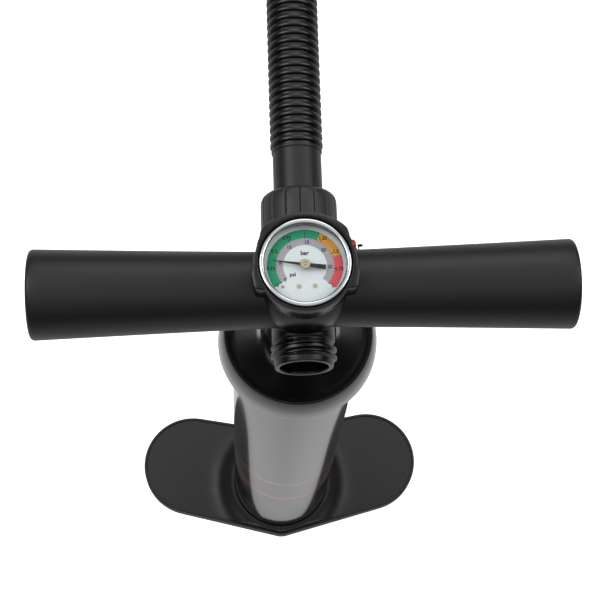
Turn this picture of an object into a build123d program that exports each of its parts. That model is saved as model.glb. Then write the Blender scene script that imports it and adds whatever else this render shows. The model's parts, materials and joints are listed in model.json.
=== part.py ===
from build123d import *
import math
import os

os.makedirs("parts", exist_ok=True)

# Double action hand pump. Millimetres. Origin on the barrel axis at the underside of the
# footplate, +Z up, X along the T-handle, +Y towards the hose side.

# Driving dimensions: footplate
PLATE_TOP = 13.5
LOBE_X, LOBE_Y, LOBE_R = 77.0, 18.0, 42.6
TIP_Y, REAR_Y = -46.4, 47.0
PLATE_SKIN = 4.5
RIB_PITCH, RIB_WIDTH = 30.0, 2.6
SOCKET_FLOOR = 8.0
COLLAR_R, COLLAR_TOP = 44.0, 26.0
PAD_R, PAD_DEPTH = 12.0, 3.0
PAD_SPOTS = [(92, 14), (-92, 14), (62, 34), (-62, 34), (62, -6), (-62, -6)]
FOOT_SCREW_R = 24.0

# Barrel and cap
BARREL_R, BORE_R = 40.0, 37.5
TUBE_TOP = 474.0
CAP_R, CAP_BOTTOM, CAP_TOP = 49.0, 458.4, 481.0
CAP_FACE_R, CAP_DISH = 43.6, 2.0
BOSS_R, BOSS_TOP = 20.0, 492.0
GASKET = 1.5

# Rod and piston
ROD_R, ROD_BORE_R = 12.5, 11.0
AIR_R, AIR_BORE_R = 7.0, 5.75
RUN = 0.05
PISTON_BOTTOM, PISTON_SPLIT, PISTON_TOP = 30.0, 44.0, 58.0
PISTON_R, GROOVE_R = 36.8, 33.0
GROOVE_LOW, GROOVE_HIGH = 39.7, 48.3
VALVE_X, DISC_R, DISC_T = 22.0, 7.0, 1.5

# Handle and ports
HANDLE_Z, HANDLE_HALF = 563.5, 150.8
GRIP_START, GRIP_R0, GRIP_R1 = 35.0, 21.4, 25.2
SPIGOT_R = 12.9
STEM_R, STEM_BOTTOM = 19.5, 496.2
PORT_Z = 539.6
PORT_END, PORT_R, LIP_R, PORT_BORE_R = -38.7, 17.2, 16.6, 13.7
THREAD_R, THREAD_PITCH = 18.8, 4.8
REAR_END, REAR_R, REAR_BORE_R = 58.0, 17.0, 10.0
NUT_R, NUT_START, NUT_END = 22.3, 38.0, 64.5
CUFF_R, CUFF_END = 14.4, 93.0

# Gauge
PLUG_X, PLUG_Z, PLUG_FACE = 25.5, 562.9, 23.6
GAUGE_Y, GAUGE_FLOOR, GAUGE_TOP = 4.8, 566.0, 597.0
CUP_R, CUP_BORE_R = 28.5, 25.6
CASE_R, DIAL_Z, BEZEL_R = 24.7, 590.0, 25.3
LENS_LOW, LENS_HIGH = 594.1, 595.5
NEEDLE_ANGLE = 172.4
PINION_R, SECTOR_R = 1.0, 8.9
SECTOR_Y = GAUGE_Y - PINION_R - SECTOR_R - 0.2

# Hose: outside and inside radius, and its route from the cuff to the connector
HOSE_R, HOSE_BORE_R = 15.5, 13.0
FLOOR_Z = 16.0
HOSE_ROUTE = [
    (0.0, 93.0, 539.6),
    (0.0, 240.0, 539.6),
    (5.0, 398.0, 506.0),
    (12.0, 502.0, 398.0),
    (18.0, 524.0, 236.0),
    (24.0, 456.0, 104.0),
    (27.0, 336.0, FLOOR_Z),
    (27.0, 244.0, FLOOR_Z),
]
END_X, END_Y = 27.0, 244.0


def cyl(radius, low, high, x=0.0, y=0.0):
    """Upright cylinder between two heights."""
    return Pos(x, y, (low + high) / 2) * Cylinder(radius, high - low)


def tube(outer, inner, low, high, x=0.0, y=0.0):
    return cyl(outer, low, high, x, y) - cyl(inner, low - 1, high + 1, x, y)


def ycyl(radius, near, far, x=0.0, z=PORT_Z):
    """Cylinder along Y between two depths."""
    return Pos(x, (near + far) / 2, z) * Rot(90, 0, 0) * Cylinder(radius, far - near)


def ytube(outer, inner, near, far, x=0.0, z=PORT_Z):
    return ycyl(outer, near, far, x, z) - ycyl(inner, near - 1, far + 1, x, z)


def xcyl(radius, left, right, y=0.0, z=HANDLE_Z):
    """Cylinder along X between two sides."""
    return Pos((left + right) / 2, y, z) * Rot(0, 90, 0) * Cylinder(radius, right - left)


def block(x0, x1, y0, y1, z0, z1):
    return Pos((x0 + x1) / 2, (y0 + y1) / 2, (z0 + z1) / 2) * Box(x1 - x0, y1 - y0, z1 - z0)


def group(solids):
    return Compound(children=solids)


def save(name, shape):
    export_step(shape, f"parts/{name}.step")


# Footplate: two round lobes joined by a shallow chevron, hollow and ribbed underneath
def tangent_point(x, y, radius, side):
    """Point where a line from (x, y) touches the right lobe."""
    away = math.atan2(y - LOBE_Y, x - LOBE_X)
    turn = math.acos(radius / math.hypot(x - LOBE_X, y - LOBE_Y))
    return LOBE_X + radius * math.cos(away + side * turn), LOBE_Y + radius * math.sin(away + side * turn)


def plate_outline(shrink=0.0):
    radius = LOBE_R - shrink
    tip, rear = (0, TIP_Y + 1.04 * shrink), (0, REAR_Y - 1.02 * shrink)
    front, back = tangent_point(*tip, radius, 1), tangent_point(*rear, radius, -1)
    half = [Line(tip, front), ThreePointArc(front, (LOBE_X + radius, LOBE_Y), back), Line(back, rear)]
    other = [Line((-rear[0], rear[1]), (-back[0], back[1]))]
    other += [ThreePointArc((-back[0], back[1]), (-LOBE_X - radius, LOBE_Y), (-front[0], front[1]))]
    other += [Line((-front[0], front[1]), tip)]
    return make_face(half + other)


def footplate():
    plate = extrude(plate_outline(), PLATE_TOP)
    plate = fillet(plate.edges().group_by(Axis.Z)[-1], 1.8)
    skirt = Pos(0, 0, (PLATE_TOP + COLLAR_TOP) / 2) * Cone(COLLAR_R + 7.5, COLLAR_R, COLLAR_TOP - PLATE_TOP)
    plate += skirt & extrude(plate_outline(1.6), COLLAR_TOP)
    keep = cyl(COLLAR_R + 2, 0, PLATE_TOP)
    for x, y in PAD_SPOTS:
        keep += cyl(PAD_R + 2.5, 0, PLATE_TOP, x, y)
    pockets = extrude(plate_outline(3.5), PLATE_TOP - PLATE_SKIN)
    for column in range(-4, 5):
        middle = column * RIB_PITCH
        keep += block(middle - RIB_WIDTH / 2, middle + RIB_WIDTH / 2, -60, 70, 0, PLATE_TOP)
    for row in range(-1, 3):
        middle = row * RIB_PITCH
        keep += block(-130, 130, middle - RIB_WIDTH / 2, middle + RIB_WIDTH / 2, 0, PLATE_TOP)
    plate -= pockets - keep
    plate -= cyl(BARREL_R + 0.03, SOCKET_FLOOR, COLLAR_TOP + 1)
    for x, y in PAD_SPOTS:
        plate -= cyl(PAD_R + 0.02, -1, PAD_DEPTH, x, y)
    for x, y in screw_spots():
        plate -= cyl(2.3, -1, SOCKET_FLOOR + 1, x, y)
        plate -= cyl(4.5, -1, 3.6, x, y)
    return plate


def screw_spots():
    angles = [math.radians(45 + 90 * step) for step in range(4)]
    return [(FOOT_SCREW_R * math.cos(a), FOOT_SCREW_R * math.sin(a)) for a in angles]


def foot_pads():
    return group([cyl(PAD_R, 0, PAD_DEPTH, x, y) for x, y in PAD_SPOTS])


def footplate_screws():
    screws = []
    for x, y in screw_spots():
        screws.append(cyl(4.2, 1.1, 3.6, x, y) + cyl(1.95, 3.5, 19, x, y))
    return group(screws)


# Barrel closures
def bottom_plug():
    plug = cyl(BORE_R - 0.03, SOCKET_FLOOR, 26)
    plug -= tube(BORE_R + 1, 34.9, 15.0, 18.6)
    plug -= tube(31, 18, 20, 27)
    for x, y in screw_spots():
        plug -= cyl(1.97, SOCKET_FLOOR - 1, 19.5, x, y)
    return plug


def bottom_plug_o_ring():
    return Pos(0, 0, 16.8) * Torus(36.15, 1.25)


def barrel_tube():
    return tube(BARREL_R, BORE_R, SOCKET_FLOOR, TUBE_TOP)


def top_cap():
    profile = [(0, TUBE_TOP + GASKET), (BARREL_R + 0.03, TUBE_TOP + GASKET), (BARREL_R + 0.03, CAP_BOTTOM)]
    profile += [(CAP_R - 0.6, CAP_BOTTOM), (CAP_R, CAP_BOTTOM + 0.8), (CAP_R - 0.7, CAP_BOTTOM + 11)]
    profile += [(CAP_R - 2.6, CAP_TOP - 3.5), (CAP_FACE_R + 0.8, CAP_TOP), (CAP_FACE_R, CAP_TOP)]
    profile += [(CAP_FACE_R - 3, CAP_TOP - CAP_DISH), (BOSS_R + 6, CAP_TOP - CAP_DISH)]
    profile += [(BOSS_R, CAP_TOP + 2), (BOSS_R, BOSS_TOP), (0, BOSS_TOP)]
    cap = revolve(Plane.XZ * make_face(Polyline(*profile, close=True)), Axis.Z)
    return cap - cyl(17.03, CAP_BOTTOM, BOSS_TOP + 1)


def cap_gasket():
    return tube(BARREL_R, BORE_R, TUBE_TOP, TUBE_TOP + GASKET)


def top_bumper():
    return tube(32, 18.5, 469.5, TUBE_TOP + GASKET)


def rod_bushing():
    return tube(17, ROD_R + RUN, 471, 486)


def rod_seal():
    return tube(17, ROD_R + RUN, 486, 489.5)


def seal_retainer():
    return tube(17, ROD_R + 0.3, 489.5, BOSS_TOP)


def handle_bumper():
    return tube(BOSS_R - 0.5, ROD_R + 0.5, BOSS_TOP, STEM_BOTTOM - 0.3)


# Piston: two clamped halves with four disc valves, and the seal ring that carries them
def piston_halves():
    body = cyl(PISTON_R, PISTON_BOTTOM, PISTON_TOP)
    body -= tube(PISTON_R + 1, GROOVE_R, GROOVE_LOW, GROOVE_HIGH)
    body -= cyl(ROD_R + 0.02, 50, PISTON_TOP + 1)
    body -= tube(ROD_BORE_R, AIR_R + 0.5, 44.5, 50.5)
    body -= cyl(AIR_R + 0.02, 41, 51)
    body -= cyl(6.2, 33, 41.5)
    body -= cyl(3.5, PISTON_BOTTOM - 1, 34)
    # intake valves on +X: one opens down into the lower chamber, one up into the upper chamber
    body -= block(9, VALVE_X, -3, 3, 44.5, 48)
    body -= cyl(5, 40.5, 51.5, VALVE_X)
    body -= cyl(DISC_R + 1, PISTON_BOTTOM - 1, 41, VALVE_X)
    body -= cyl(DISC_R + 1, 51, PISTON_TOP + 1, VALVE_X)
    # upper outlet valve on -X: opens down into the central gallery
    body -= cyl(5, 51.5, PISTON_TOP + 1, -VALVE_X)
    body -= cyl(DISC_R + 1, 44.5, 52, -VALVE_X)
    body -= cyl(4, 34.5, 45, -VALVE_X)
    body -= block(-VALVE_X, 0, -3, 3, 34.5, 38.5)
    for x, y in piston_screw_spots():
        body -= cyl(1.97, 33, PISTON_TOP + 1, x, y)
        body -= cyl(3.6, PISTON_TOP - 2.5, PISTON_TOP + 1, x, y)
    slab = block(-50, 50, -50, 50, PISTON_BOTTOM - 2, PISTON_SPLIT)
    return body & slab, body - slab


def piston_screw_spots():
    angles = [math.radians(60 * step) for step in (1, 2, 4, 5)]
    return [(26 * math.cos(a), 26 * math.sin(a)) for a in angles]


def piston_screws():
    screws = []
    for x, y in piston_screw_spots():
        screws.append(cyl(3.4, PISTON_TOP - 2.5, PISTON_TOP - 0.3, x, y) + cyl(1.95, 34, PISTON_TOP - 2.4, x, y))
    return group(screws)


def piston_seal_ring():
    return tube(BORE_R - 0.08, GROOVE_R + 0.08, GROOVE_LOW + 0.15, GROOVE_HIGH - 0.15)


def valve_retainers():
    """Perforated discs that keep the two intake discs in their pockets."""
    retainers = []
    for low, high in ((PISTON_BOTTOM + 0.5, 33.5), (55.5, 57.5)):
        plate = cyl(DISC_R + 0.98, low, high, VALVE_X)
        for step in range(6):
            angle = math.radians(60 * step)
            plate -= cyl(1.6, low - 1, high + 1, VALVE_X + 5 * math.cos(angle), 5 * math.sin(angle))
        retainers.append(plate)
    return group(retainers)


# Rod tubes
def outer_rod():
    return tube(ROD_R, ROD_BORE_R, 50, 522)


def inner_air_tube():
    return tube(AIR_R, AIR_BORE_R, 41.5, 549)


# Handle housing: gauge cup, cross arms, intake port in front and outlet port behind
def handle_housing():
    lower = Pos(0, 0, 512) * Circle(21.5)
    upper = Pos(0, GAUGE_Y - 0.6, 572) * Circle(CUP_R - 1.4)
    body = loft([lower, upper]) + cyl(CUP_R, 569, GAUGE_TOP, 0, GAUGE_Y)
    body += cyl(STEM_R, STEM_BOTTOM, 520)
    body += xcyl(GRIP_R0 - 0.2, -GRIP_START + 0.2, GRIP_START - 0.2)
    body += xcyl(SPIGOT_R, -140, 140)
    body += ycyl(PORT_R + 1.6, PORT_END + 14.5, 0)
    body += ycyl(PORT_R, PORT_END + 2.5, 0)
    body += ycyl(LIP_R, PORT_END, 0)
    for turn in range(2):
        near = PORT_END + 3.4 + turn * THREAD_PITCH
        body += ycyl(THREAD_R, near, near + 2.2)
    body += ycyl(REAR_R, 0, REAR_END)
    body += ycyl(5.9, 8, PLUG_FACE, PLUG_X, PLUG_Z)
    # intake passage: front port to the annulus between the two rod tubes
    body -= ycyl(PORT_BORE_R, PORT_END - 1, -9)
    body -= cyl(ROD_R + 0.02, STEM_BOTTOM - 1, 522)
    body -= cyl(ROD_BORE_R - 0.1, 521, 545.5)
    # outlet passage: inner tube to the upper gallery, then to the rear port
    body -= cyl(AIR_R + 0.02, 545, 550)
    body -= cyl(8.5, 549, 557)
    body -= block(-5, 5, 0, 26, 550, 556)
    body -= block(-5, 5, 17, 26, PORT_Z, 551)
    body -= ycyl(REAR_BORE_R, 17, REAR_END + 1)
    # gauge tapping, vent passage and gauge cup
    body -= cyl(5.02, 556, GAUGE_FLOOR + 1, 0, GAUGE_Y)
    body -= xcyl(2, 4, PLUG_X, 14.5, 553)
    body -= cyl(1.8, 553, PLUG_Z, PLUG_X, 14.5)
    body -= ycyl(3.55, 11, PLUG_FACE + 1, PLUG_X, PLUG_Z)
    body -= cyl(CUP_BORE_R, GAUGE_FLOOR, GAUGE_TOP + 1, 0, GAUGE_Y)
    body -= xcyl(9, -141, -40) + xcyl(9, 40, 141)
    return body


def grip(side):
    length = HANDLE_HALF - GRIP_START
    sleeve = Cone(GRIP_R0, GRIP_R1, length)
    sleeve = fillet(sleeve.edges().group_by(Axis.Z)[-1], 2.2)
    sleeve = Pos(side * (GRIP_START + length / 2), 0, HANDLE_Z) * Rot(0, side * 90, 0) * sleeve
    inner = sorted((side * (GRIP_START - 1), side * 140.2))
    return sleeve - xcyl(SPIGOT_R + 0.02, inner[0], inner[1])


# Hose connection behind the handle
def hose_gasket():
    return ytube(16.6, REAR_BORE_R, REAR_END, REAR_END + 2)


def hose_cuff():
    cuff = ycyl(16.8, REAR_END + 2, REAR_END + 4.2) + ycyl(CUFF_R, REAR_END + 4, CUFF_END)
    return cuff - ycyl(REAR_BORE_R, REAR_END, CUFF_END + 1)


def hose_nut():
    nut = ycyl(NUT_R, NUT_START, NUT_END)
    nut = chamfer(nut.edges().group_by(Axis.Y)[-1], 1.6)
    nut -= ycyl(REAR_R + 0.3, NUT_START - 1, NUT_END - 2)
    nut -= ycyl(CUFF_R + 0.3, NUT_START, NUT_END + 1)
    ridges = 16
    for step in range(ridges):
        angle = math.radians(360 * step / ridges)
        groove = Pos(NUT_R * math.cos(angle), (NUT_START + NUT_END) / 2 - 2, PORT_Z + NUT_R * math.sin(angle))
        nut -= groove * Rot(0, -math.degrees(angle), 0) * Box(1.0, NUT_END - NUT_START, 0.9)
    return nut


# Red pressure plug and its tether
def air_plug():
    head = ycyl(5, PLUG_FACE + 0.3, PLUG_FACE + 4.5, PLUG_X, PLUG_Z)
    return head + ycyl(3.5, 11.5, PLUG_FACE + 0.4, PLUG_X, PLUG_Z)


def plug_tether():
    loop = Pos(PLUG_X + 7.1, PLUG_FACE + 1.8, PLUG_Z) * Rot(90, 0, 0) * Torus(1.2, 0.45)
    strap = block(PLUG_X + 5.95, PLUG_X + 6.6, 21.2, PLUG_FACE + 2.1, PLUG_Z - 0.6, PLUG_Z + 0.6)
    return loop + strap


# Pressure gauge
def gauge_gasket():
    return tube(22, 14, GAUGE_FLOOR, GAUGE_FLOOR + 1, 0, GAUGE_Y)


def gauge_stem():
    return tube(5, 2, 557.2, GAUGE_FLOOR + 4, 0, GAUGE_Y)


def gauge_case():
    case = tube(CASE_R, CASE_R - 1.2, GAUGE_FLOOR + 1, LENS_LOW - 0.2, 0, GAUGE_Y)
    case += cyl(CASE_R, GAUGE_FLOOR + 1, GAUGE_FLOOR + 3, 0, GAUGE_Y)
    return case - cyl(5.02, GAUGE_FLOOR, GAUGE_FLOOR + 5, 0, GAUGE_Y)


def bourdon_tube():
    arc = CenterArc((0, GAUGE_Y, 575), 17, 200, 250)
    return sweep(Plane(arc @ 0, z_dir=arc % 0) * Circle(1.8), path=arc)


def movement_frame():
    frame = block(-7, 7, SECTOR_Y - 2.5, GAUGE_Y + 6, 572, 573.2)
    for x in (-6, 6):
        frame += cyl(1.2, GAUGE_FLOOR + 3, 582.2, x, GAUGE_Y + 4.5)
    frame += block(-7, 7, SECTOR_Y - 2.5, GAUGE_Y + 6, 581.2, 582.4)
    for x, y in ((0, GAUGE_Y), (0, SECTOR_Y)):
        frame -= cyl(0.86, 560, 590, x, y)
    return frame


def sector_gear():
    arbor = cyl(0.8, 570.5, 583.5, 0, SECTOR_Y)
    sweep_angle = math.radians(28), math.radians(-8)
    edge = [(20 * math.sin(turn), 20 * math.cos(turn)) for turn in sweep_angle]
    wedge = extrude(make_face(Polyline((0, 0), *edge, close=True)), 4)
    fan = cyl(SECTOR_R, 576, 577, 0, SECTOR_Y) & Pos(0, SECTOR_Y, 575) * wedge
    return arbor + cyl(1.8, 576, 577, 0, SECTOR_Y) + fan


def gauge_dial():
    dial = cyl(CASE_R - 1.3, DIAL_Z - 0.8, DIAL_Z, 0, GAUGE_Y) - cyl(1.4, 580, GAUGE_TOP, 0, GAUGE_Y)
    for x, y in dial_screw_spots():
        dial -= cyl(0.82, 580, GAUGE_TOP, x, y)
    return dial


def dial_screw_spots():
    return [(-3.6, GAUGE_Y - 11.6), (5.0, GAUGE_Y - 11.4)]


def dial_screws():
    screws = []
    for x, y in dial_screw_spots():
        screws.append(cyl(1.4, DIAL_Z, DIAL_Z + 0.7, x, y) + cyl(0.8, DIAL_Z - 3, DIAL_Z + 0.1, x, y))
    return group(screws)


def gauge_needle():
    blade = Polyline((-10.4, -1.0), (-10.4, 1.0), (0, 0.8), (17.4, 0.15), (17.4, -0.15), (0, -0.8), close=True)
    blade = Rot(0, 0, NEEDLE_ANGLE) * extrude(make_face(blade) + Circle(2.2), 0.5)
    return Pos(0, GAUGE_Y, DIAL_Z + 2.0) * blade - cyl(0.8, 580, 595, 0, GAUGE_Y)


def needle_hub():
    hub = cyl(2.7, DIAL_Z + 2.5, DIAL_Z + 3.7, 0, GAUGE_Y) + cyl(0.8, 570.5, DIAL_Z + 3, 0, GAUGE_Y)
    return hub + cyl(PINION_R, 575, 580, 0, GAUGE_Y)


def gauge_lens():
    return cyl(CASE_R - 1.3, LENS_LOW, LENS_HIGH, 0, GAUGE_Y)


def gauge_bezel():
    ring = tube(BEZEL_R, CASE_R + 0.03, 584, GAUGE_TOP, 0, GAUGE_Y)
    ring += tube(BEZEL_R, 21.8, LENS_HIGH, GAUGE_TOP, 0, GAUGE_Y)
    ring = chamfer(ring.edges().group_by(Axis.Z)[-1], 1.2)
    return ring


# Hose and its end fitting
def hose_tube():
    radii = []
    for before, corner, after in zip(HOSE_ROUTE, HOSE_ROUTE[1:], HOSE_ROUTE[2:]):
        first, second = Vector(*corner) - Vector(*before), Vector(*after) - Vector(*corner)
        half_turn = math.radians(first.get_angle(second)) / 2
        radii.append(0.45 * min(first.length, second.length) / math.tan(half_turn))
    print("hose bend radii", [round(radius) for radius in radii])
    path = FilletPolyline(*HOSE_ROUTE, radius=radii)
    ring = Circle(HOSE_R) - Circle(HOSE_BORE_R)
    hose = sweep(Plane(path @ 0, z_dir=path % 0) * ring, path=path)
    section = math.pi * (HOSE_R ** 2 - HOSE_BORE_R ** 2)
    print("hose length", round(path.length, 1), "volume ratio", round(hose.volume / (section * path.length), 4))
    return hose


def hose_end_cuff():
    return ytube(15.6, 8, END_Y - 34, END_Y, END_X, FLOOR_Z)


def valve_connector():
    body = ycyl(13, END_Y - 52, END_Y - 34, END_X, FLOOR_Z) + ycyl(9.5, END_Y - 72, END_Y - 51, END_X, FLOOR_Z)
    body += ycyl(14.8, END_Y - 46, END_Y - 42, END_X, FLOOR_Z)
    body += block(END_X - 12, END_X + 12, END_Y - 68, END_Y - 65, FLOOR_Z - 2, FLOOR_Z + 2)
    return body - ycyl(6.5, END_Y - 73, END_Y - 33, END_X, FLOOR_Z)


def connector_gasket():
    return ytube(12.4, 9.52, END_Y - 54, END_Y - 52, END_X, FLOOR_Z)


save("footplate", footplate())
save("foot_pads", foot_pads())
save("footplate_screws", footplate_screws())
save("bottom_plug", bottom_plug())
save("bottom_plug_o_ring", bottom_plug_o_ring())
save("barrel_tube", barrel_tube())
save("top_cap", top_cap())
save("cap_gasket", cap_gasket())
save("top_bumper", top_bumper())
save("rod_bushing", rod_bushing())
save("rod_seal", rod_seal())
save("seal_retainer", seal_retainer())
save("handle_bumper", handle_bumper())
lower_half, upper_half = piston_halves()
save("piston_lower_half", lower_half)
save("piston_upper_half", upper_half)
save("piston_screws", piston_screws())
save("piston_seal_ring", piston_seal_ring())
save("valve_retainers", valve_retainers())
save("outlet_disc_lower", cyl(5.4, 33.05, 33.05 + DISC_T))
save("outlet_disc_upper", cyl(DISC_R, 51.95 - DISC_T, 51.95, -VALVE_X))
save("intake_disc_lower", cyl(DISC_R, 40.45 - DISC_T, 40.45, VALVE_X))
save("intake_disc_upper", cyl(DISC_R, 51.55, 51.55 + DISC_T, VALVE_X))
save("outer_rod", outer_rod())
save("inner_air_tube", inner_air_tube())
save("handle_housing", handle_housing())
save("left_grip", grip(-1))
save("right_grip", grip(1))
save("hose_gasket", hose_gasket())
save("hose_cuff", hose_cuff())
save("hose_nut", hose_nut())
save("air_plug", air_plug())
save("plug_tether", plug_tether())
save("gauge_gasket", gauge_gasket())
save("gauge_stem", gauge_stem())
save("gauge_case", gauge_case())
save("bourdon_tube", bourdon_tube())
save("movement_frame", movement_frame())
save("sector_gear", sector_gear())
save("gauge_dial", gauge_dial())
save("dial_screws", dial_screws())
save("gauge_needle", gauge_needle())
save("needle_hub", needle_hub())
save("gauge_lens", gauge_lens())
save("gauge_bezel", gauge_bezel())
save("hose_tube", hose_tube())
save("hose_end_cuff", hose_end_cuff())
save("valve_connector", valve_connector())
save("connector_gasket", connector_gasket())
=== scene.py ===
import json
import math

import bmesh
import bpy
from mathutils import Matrix, Vector


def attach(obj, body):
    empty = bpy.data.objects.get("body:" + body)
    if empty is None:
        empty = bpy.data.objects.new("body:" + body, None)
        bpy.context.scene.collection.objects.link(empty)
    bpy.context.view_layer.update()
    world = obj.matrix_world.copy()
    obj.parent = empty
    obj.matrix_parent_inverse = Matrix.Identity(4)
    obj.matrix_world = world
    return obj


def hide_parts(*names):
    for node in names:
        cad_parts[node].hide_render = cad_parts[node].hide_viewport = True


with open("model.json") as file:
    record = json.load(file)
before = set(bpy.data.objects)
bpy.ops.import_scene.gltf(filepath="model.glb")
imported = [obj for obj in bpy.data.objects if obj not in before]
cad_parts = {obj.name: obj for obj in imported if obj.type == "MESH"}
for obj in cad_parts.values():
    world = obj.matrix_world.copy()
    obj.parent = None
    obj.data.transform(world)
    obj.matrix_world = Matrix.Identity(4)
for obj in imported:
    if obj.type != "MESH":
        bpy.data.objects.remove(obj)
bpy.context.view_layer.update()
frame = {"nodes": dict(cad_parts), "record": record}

scene = bpy.context.scene


# ---------------------------------------------------------------- camera
# A long lens looks steeply down on the gauge from a little to the left of the pump, and is turned
# a few degrees about its own axis.
VIEW_AZIMUTH, VIEW_ELEVATION, VIEW_ROLL = (math.radians(angle) for angle in (-8.19, 72.23, 6.58))
VIEW_TARGET, VIEW_DISTANCE = Vector((0.003, 0.0299, 0.45)), 1.0041

towards_eye = Vector((
    math.sin(VIEW_AZIMUTH) * math.cos(VIEW_ELEVATION),
    -math.cos(VIEW_AZIMUTH) * math.cos(VIEW_ELEVATION),
    math.sin(VIEW_ELEVATION),
))
level_right = Vector((0, 0, 1)).cross(towards_eye).normalized()
level_up = towards_eye.cross(level_right)
view_right = math.cos(VIEW_ROLL) * level_right + math.sin(VIEW_ROLL) * level_up
view_up = math.cos(VIEW_ROLL) * level_up - math.sin(VIEW_ROLL) * level_right
camera = bpy.data.objects.new("camera", bpy.data.cameras.new("camera"))
scene.collection.objects.link(camera)
camera.data.lens = 96
camera.data.sensor_width = 36
camera.data.clip_end = 20
camera.data.dof.use_dof = False
camera.matrix_world = Matrix((
    (*view_right, 0), (*view_up, 0), (*towards_eye, 0), (0, 0, 0, 1),
)).transposed()
camera.location = VIEW_TARGET + VIEW_DISTANCE * towards_eye
scene.camera = camera


# ---------------------------------------------------------------- hose
# Corrugated black vinyl hose, blow moulded: narrow flat crests a few millimetres apart. It leaves the
# rear port level, arches over and comes down to the ground, where its end lies back towards the pump.
MM = 0.001
HOSE_ROUTE = [
    (0.0, 93.0, 539.6),
    (0.0, 240.0, 539.6),
    (5.0, 398.0, 506.0),
    (12.0, 502.0, 398.0),
    (18.0, 524.0, 236.0),
    (24.0, 456.0, 104.0),
    (27.0, 336.0, 16.0),
    (27.0, 244.0, 16.0),
]
HOSE_CREST, HOSE_VALLEY, HOSE_PITCH = 15.5, 13.7, 5.24
# share of the pitch, and how far from valley (0) to crest (1)
HOSE_WAVE = [
    (0.0, 0.0), (0.20, 0.02), (0.32, 0.86), (0.40, 1.0), (0.68, 1.0), (0.76, 0.86), (0.88, 0.02),
]


def linear(hex_colour):
    """sRGB hex colour as linear red, green, blue and alpha."""
    shares = [int(hex_colour[place:place + 2], 16) / 255 for place in (1, 3, 5)]
    return tuple(s / 12.92 if s <= 0.04045 else ((s + 0.055) / 1.055) ** 2.4 for s in shares) + (1,)


def add_node(material, kind, links=(), **settings):
    """Adds a node, sets its properties or its sockets by name, and links its inputs."""
    node = material.node_tree.nodes.new(kind)
    for name, value in settings.items():
        if hasattr(node, name):
            setattr(node, name, value)
        else:
            node.inputs[name.replace("_", " ")].default_value = value
    for socket, source in dict(links).items():
        material.node_tree.links.new(source, node.inputs[socket])
    return node


def new_material(name, **shader_settings):
    """An empty material with one Principled shader, whose constant sockets are set here."""
    material = bpy.data.materials.new(name)
    material.use_nodes = True
    material.node_tree.nodes.clear()
    shader = add_node(material, "ShaderNodeBsdfPrincipled", **shader_settings)
    add_node(material, "ShaderNodeOutputMaterial", {"Surface": shader.outputs[0]})
    place = add_node(material, "ShaderNodeTexCoord").outputs["Object"]
    return material, shader, place


def moulded(name, colour, roughness, grain_mm, grain_depth, **more):
    """Moulded polymer: an even colour, a little uneven sheen, and the fine grain of the mould."""
    material, shader, place = new_material(name, Base_Color=linear(colour), **more)
    sheen = add_node(material, "ShaderNodeTexNoise", {"Vector": place}, Scale=55.0, Detail=4.0)
    spread = add_node(
        material, "ShaderNodeMapRange", {"Value": sheen.outputs["Fac"]},
        To_Min=roughness - 0.06, To_Max=roughness + 0.06,
    )
    grain = add_node(
        material, "ShaderNodeTexNoise", {"Vector": place}, Scale=1 / (grain_mm * MM), Detail=3.0,
    )
    bump = add_node(
        material, "ShaderNodeBump", {"Height": grain.outputs["Fac"]},
        Strength=grain_depth, Distance=0.0002,
    )
    material.node_tree.links.new(spread.outputs[0], shader.inputs["Roughness"])
    material.node_tree.links.new(bump.outputs[0], shader.inputs["Normal"])
    return material


def grid_skin(name, rows, steps, place):
    """A grid wrapped once round and joined to itself. place gives a point from its row and angle."""
    bm = bmesh.new()
    bmesh.ops.create_grid(bm, x_segments=rows - 1, y_segments=steps, size=1)
    for vert in bm.verts:
        row = round((vert.co.x + 1) / 2 * (rows - 1))
        step = round((vert.co.y + 1) / 2 * steps) % steps
        vert.co = place(row, step * math.tau / steps)
    bmesh.ops.remove_doubles(bm, verts=bm.verts, dist=1e-6)
    return piece_from(name, bm)


def piece_from(name, bm, sharp=35):
    """Object from a bmesh, smooth but for edges sharper than the given angle."""
    bmesh.ops.recalc_face_normals(bm, faces=bm.faces)
    mesh = bpy.data.meshes.new(name)
    bm.to_mesh(mesh)
    bm.free()
    mesh.shade_smooth()
    mesh.set_sharp_from_angle(angle=math.radians(sharp))
    piece = bpy.data.objects.new(name, mesh)
    scene.collection.objects.link(piece)
    return piece


def metal(name, colour, roughness, line_mm, line_depth):
    """Bare or plated metal: uneven sheen, and the fine lines that turning and polishing leave."""
    material, shader, place = new_material(name, Base_Color=linear(colour), Metallic=1.0)
    sheen = add_node(material, "ShaderNodeTexNoise", {"Vector": place}, Scale=160.0, Detail=5.0)
    spread = add_node(
        material, "ShaderNodeMapRange", {"Value": sheen.outputs["Fac"]},
        To_Min=roughness - 0.05, To_Max=roughness + 0.05,
    )
    squashed = add_node(material, "ShaderNodeMapping", {"Vector": place})
    squashed.inputs["Scale"].default_value = (1, 1, 12)
    lines = add_node(
        material, "ShaderNodeTexNoise", {"Vector": squashed.outputs[0]},
        Scale=1 / (line_mm * MM), Detail=2.0,
    )
    bump = add_node(
        material, "ShaderNodeBump", {"Height": lines.outputs["Fac"]},
        Strength=line_depth, Distance=0.0001,
    )
    material.node_tree.links.new(spread.outputs[0], shader.inputs["Roughness"])
    material.node_tree.links.new(bump.outputs[0], shader.inputs["Normal"])
    return material


def fit_out(piece, material, slot, body, *nodes):
    """Gives a piece its material and body, and hides the CAD nodes that it stands for. The slot
    argument is not used.
    """
    piece.data.materials.clear()
    piece.data.materials.append(material)
    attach(piece, body)
    if nodes:
        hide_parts(*nodes)
    return piece


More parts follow.
